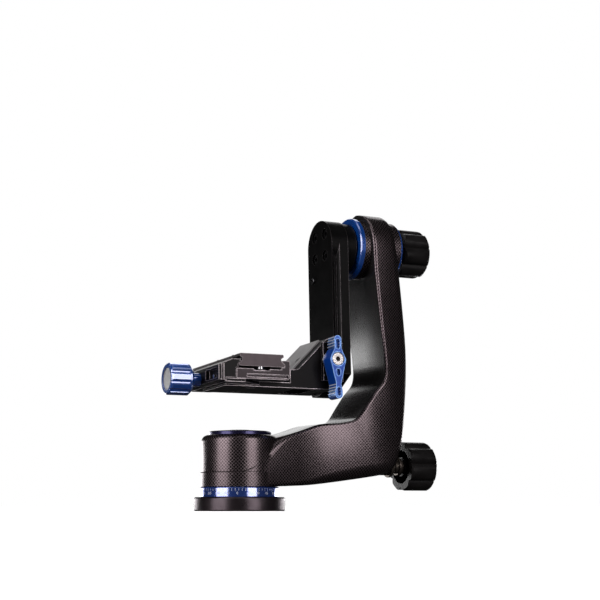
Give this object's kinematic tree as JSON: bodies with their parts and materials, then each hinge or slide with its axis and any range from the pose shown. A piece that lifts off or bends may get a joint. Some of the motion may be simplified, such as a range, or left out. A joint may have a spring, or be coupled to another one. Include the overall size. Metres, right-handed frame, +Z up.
{
  "type": "gimbal tripod head",
  "caption": "Gimbal tripod head with an L-shaped carbon arm on a blue-ringed panning base, a tilting cradle with a quick-release platform, blue clamp knob and lever, and black star knobs.",
  "frame": {"origin": "centre of the base's underside, on the pan axis, at the mouth of the tripod thread", "axes": "+Z up along the pan axis; +X towards the upright of the arm; -Y the side with the height lever"},
  "size_m": [0.2284, 0.1053, 0.2385],
  "materials": {
    "arm_composite": "satin carbon-fibre composite",
    "black_anodised": "satin black anodised",
    "grey_anodised": "satin grey anodised",
    "blue_anodised": "bright blue anodised",
    "violet_anodised": "dark blue-violet anodised",
    "bare_aluminium": "turned, bare",
    "steel": "turned steel",
    "dark_screws": "blackened steel",
    "bronze": "turned brass",
    "lock_metal": "brownish anodised",
    "knob_black": "satin black",
    "rubber": "ribbed matt rubber",
    "vial": "clear yellow-green"
  },
  "bodies": {
    "base": {"base_plate": "black_anodised", "tripod_bush": "steel", "pan_spindle": "steel", "base_screws": "dark_screws", "scale_ring": "blue_anodised", "spindle_nut": "steel"},
    "arm_body": {"arm": "arm_composite", "pan_bearings": "steel", "bearing_spacer": "steel", "hub_cap": "violet_anodised", "level_housing": "bare_aluminium", "level_vial": "vial", "pan_lock_boss": "lock_metal", "tilt_bearings": "steel", "tilt_ring": "blue_anodised", "tilt_outer_ring": "blue_anodised"},
    "pan_lock": {"pan_brake_shoe": "bronze", "pan_lock_rod": "steel"},
    "pan_knob": {"pan_lock_collar": "lock_metal", "pan_lock_knob": "knob_black"},
    "cradle": {"cradle_rail": "black_anodised", "tilt_flange": "black_anodised", "tilt_axle": "steel", "rail_screws": "dark_screws", "rail_stop_screws": "dark_screws"},
    "tilt_lock": {"tilt_lock_washer": "lock_metal"},
    "tilt_knob": {"tilt_lock_nut": "bronze", "tilt_lock_knob": "knob_black"},
    "platform": {"platform_bracket": "black_anodised", "gusset_cover": "grey_anodised", "cover_screws": "dark_screws", "clamp_base": "black_anodised", "clamp_base_screws": "dark_screws", "guide_pins": "steel"},
    "jaw": {"clamp_jaw": "black_anodised", "knob_collar": "blue_anodised"},
    "jaw_knob": {"clamp_bolt": "steel", "clamp_knob": "blue_anodised", "clamp_knob_cap": "bare_aluminium"},
    "gib": {"height_gib": "black_anodised"},
    "lever": {"height_lever": "blue_anodised", "lever_screw": "steel", "lever_washer": "steel"},
    "plate": {"quick_plate": "black_anodised", "plate_pads": "rubber", "camera_screws": "steel", "plate_stop_screws": "steel"}
  },
  "joints": [
    {"name": "pan", "type": "hinge", "parent": "base", "child": "arm_body", "pos_m": [0, 0, 0.035], "axis": [0, 0, 1], "continuous": true},
    {"name": "pan_lock_travel", "type": "slide", "parent": "arm_body", "child": "pan_lock", "axis": [1, 0, 0], "range_m": [0, 0.00125]},
    {"name": "pan_lock_turn", "type": "hinge", "parent": "pan_lock", "child": "pan_knob", "pos_m": [0.142, 0, 0.035], "axis": [1, 0, 0], "range_deg": [0, 360]},
    {"name": "tilt", "type": "hinge", "parent": "arm_body", "child": "cradle", "pos_m": [0.1, 0, 0.21], "axis": [1, 0, 0], "continuous": true},
    {"name": "tilt_lock_travel", "type": "slide", "parent": "cradle", "child": "tilt_lock", "axis": [1, 0, 0], "range_m": [0, 0.00125]},
    {"name": "tilt_lock_turn", "type": "hinge", "parent": "tilt_lock", "child": "tilt_knob", "pos_m": [0.14, 0, 0.21], "axis": [1, 0, 0], "range_deg": [0, 360]},
    {"name": "platform_height", "type": "slide", "parent": "cradle", "child": "platform", "axis": [0, 0.0419, 0.9991], "range_m": [0, 0.045]},
    {"name": "jaw_travel", "type": "slide", "parent": "platform", "child": "jaw", "axis": [-1, 0, 0], "range_m": [0, 0.004]},
    {"name": "clamp_turn", "type": "hinge", "parent": "jaw", "child": "jaw_knob", "pos_m": [-0.05, -0.00267, 0.09841], "axis": [-1, 0, 0], "range_deg": [0, 1152]},
    {"name": "gib_travel", "type": "slide", "parent": "platform", "child": "gib", "axis": [0, -0.9991, 0.0419], "range_m": [0, 0.0005]},
    {"name": "lever_turn", "type": "hinge", "parent": "gib", "child": "lever", "pos_m": [0.0624, -0.03801, 0.11511], "axis": [0, -0.9991, 0.0419], "range_deg": [0, 180]},
    {"name": "plate_slide", "type": "slide", "parent": "platform", "child": "plate", "axis": [0, -0.9991, 0.0419], "range_m": [0, 0.0205]}
  ],
  "couplings": [
    {"joint": "pan_lock_turn", "follows": "pan_lock_travel", "rad_per_m": 5026},
    {"joint": "tilt_lock_turn", "follows": "tilt_lock_travel", "rad_per_m": 5026},
    {"joint": "clamp_turn", "follows": "jaw_travel", "rad_per_m": 5026},
    {"joint": "lever_turn", "follows": "gib_travel", "rad_per_m": 6282.6}
  ]
}
